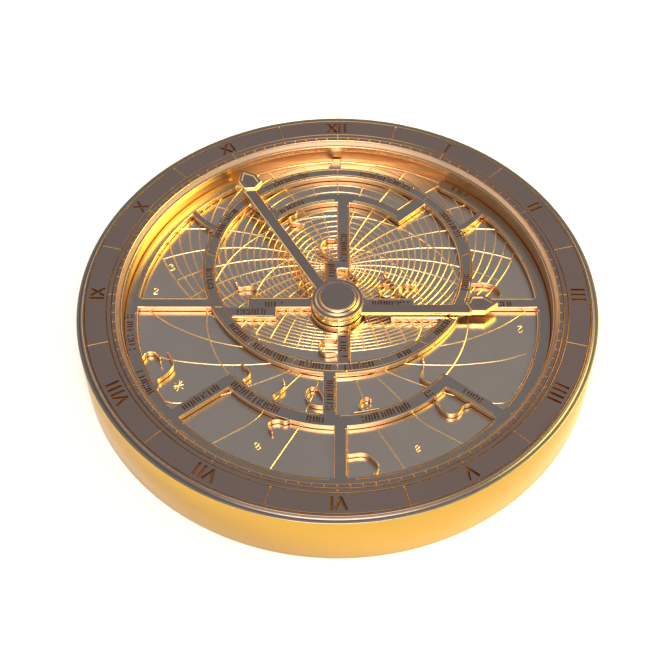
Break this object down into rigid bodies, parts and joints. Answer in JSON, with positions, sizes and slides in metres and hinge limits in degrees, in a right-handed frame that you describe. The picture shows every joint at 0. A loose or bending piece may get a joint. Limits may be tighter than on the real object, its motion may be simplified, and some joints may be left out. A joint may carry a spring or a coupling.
{
  "type": "astrolabe clock",
  "caption": "Round drum-cased astrolabe clock with a numbered chapter ring, recessed engraved plate, openwork star map, two hands and a spring-driven movement.",
  "frame": {"origin": "centre of the flat back face, on the drum's axis", "axes": "+Z out of the dial, +Y towards XII, +X towards III"},
  "size_m": [0.15, 0.15, 0.0192],
  "materials": {
    "case_gold": "polished gold-plated brass",
    "chapter_bronze": "patinated bronze flats with bright copper-gold edges",
    "well_copper": "polished copper-gold",
    "plate_bronze": "satin bronze plate with raised gilt lines",
    "rete_bronze": "satin bronze flats with gilt edges",
    "hand_bronze": "satin bronze with gilt edges",
    "movement_brass": "grained brass",
    "wheel_brass": "circular-grained brass",
    "steel": "polished steel",
    "spring_steel": "blued steel",
    "screw_steel": "blued steel",
    "ruby": "polished synthetic ruby"
  },
  "bodies": {
    "case": {"case_body": "case_gold", "shelf_ring": "case_gold", "cover_lugs": "movement_brass", "chapter_ring": "chapter_bronze", "well_ring": "well_copper", "tympan": "plate_bronze", "dial_bush": "movement_brass", "chapter_posts": "movement_brass", "chapter_screws": "screw_steel", "minute_stud": "steel", "front_plate": "movement_brass", "back_plate": "movement_brass", "pillars": "movement_brass", "plate_screws": "screw_steel", "case_screws": "screw_steel", "click_screw": "screw_steel", "hairspring": "spring_steel", "hairspring_stud": "steel", "rear_cover": "case_gold", "cover_screws": "screw_steel"},
    "star_map": {"rete_rim": "rete_bronze", "ecliptic_ring": "rete_bronze", "rete_straps": "rete_bronze", "star_pointers": "rete_bronze", "rete_wheel": "wheel_brass"},
    "hour": {"hour_hand": "hand_bronze", "hour_wheel": "wheel_brass"},
    "minute": {"minute_hand": "hand_bronze", "hub_cap": "hand_bronze", "centre_arbor": "steel", "centre_wheel": "wheel_brass", "cannon_pinion": "steel", "setting_knob": "case_gold"},
    "motion_work": {"minute_wheel": "wheel_brass"},
    "barrel": {"barrel": "wheel_brass", "barrel_lid": "movement_brass", "mainspring": "spring_steel"},
    "winding": {"barrel_arbor": "steel", "ratchet_wheel": "steel", "winding_knob": "case_gold"},
    "click": {"click": "steel"},
    "third": {"third_arbor": "steel", "third_wheel": "wheel_brass"},
    "fourth": {"fourth_arbor": "steel", "fourth_wheel": "wheel_brass"},
    "escape": {"escape_arbor": "steel", "escape_wheel": "wheel_brass"},
    "lever": {"pallet_lever": "steel", "pallet_stones": "ruby"},
    "balance": {"balance_staff": "steel", "balance_wheel": "wheel_brass"}
  },
  "joints": [
    {"name": "minute_turn", "type": "hinge", "parent": "case", "child": "minute", "pos_m": [0, 0, 0.012], "axis": [0, 0, 1], "continuous": true},
    {"name": "hour_turn", "type": "hinge", "parent": "case", "child": "hour", "pos_m": [0, 0, 0.012], "axis": [0, 0, 1], "continuous": true},
    {"name": "star_map_turn", "type": "hinge", "parent": "case", "child": "star_map", "pos_m": [0, 0, 0.012], "axis": [0, 0, 1], "continuous": true},
    {"name": "motion_work_turn", "type": "hinge", "parent": "case", "child": "motion_work", "pos_m": [-0.018, 0, 0.012], "axis": [0, 0, 1], "continuous": true},
    {"name": "barrel_turn", "type": "hinge", "parent": "case", "child": "barrel", "pos_m": [0, -0.027, 0.004], "axis": [0, 0, 1], "continuous": true},
    {"name": "third_turn", "type": "hinge", "parent": "case", "child": "third", "pos_m": [0, 0.0175, 0.004], "axis": [0, 0, 1], "continuous": true},
    {"name": "fourth_turn", "type": "hinge", "parent": "case", "child": "fourth", "pos_m": [0.0148, 0.02289, 0.004], "axis": [0, 0, 1], "continuous": true},
    {"name": "escape_turn", "type": "hinge", "parent": "case", "child": "escape", "pos_m": [0.0288, 0.02289, 0.004], "axis": [0, 0, 1], "continuous": true},
    {"name": "winding_turn", "type": "hinge", "parent": "case", "child": "winding", "pos_m": [0, -0.027, 0.002], "axis": [0, 0, 1], "continuous": true},
    {"name": "click_lift", "type": "hinge", "parent": "case", "child": "click", "pos_m": [0.0165, -0.021, 0.0016], "axis": [0, 0, 1], "range_deg": [0, 12]},
    {"name": "lever_swing", "type": "hinge", "parent": "case", "child": "lever", "pos_m": [0.03229, 0.0133, 0.0055], "axis": [0, 0, 1], "range_deg": [-3, 3]},
    {"name": "balance_swing", "type": "hinge", "parent": "case", "child": "balance", "pos_m": [0.03646, 0.00184, 0.0045], "axis": [0, 0, 1], "range_deg": [-220, 220], "stiffness_Nm_per_rad": 0.0000004}
  ],
  "couplings": [
    {"joint": "hour_turn", "follows": "minute_turn", "ratio": 0.083333},
    {"joint": "star_map_turn", "follows": "minute_turn", "ratio": 0.041667},
    {"joint": "motion_work_turn", "follows": "minute_turn", "ratio": -0.33333},
    {"joint": "barrel_turn", "follows": "minute_turn", "ratio": -0.125},
    {"joint": "third_turn", "follows": "minute_turn", "ratio": -6},
    {"joint": "fourth_turn", "follows": "minute_turn", "ratio": 36},
    {"joint": "escape_turn", "follows": "minute_turn", "ratio": -216}
  ]
}
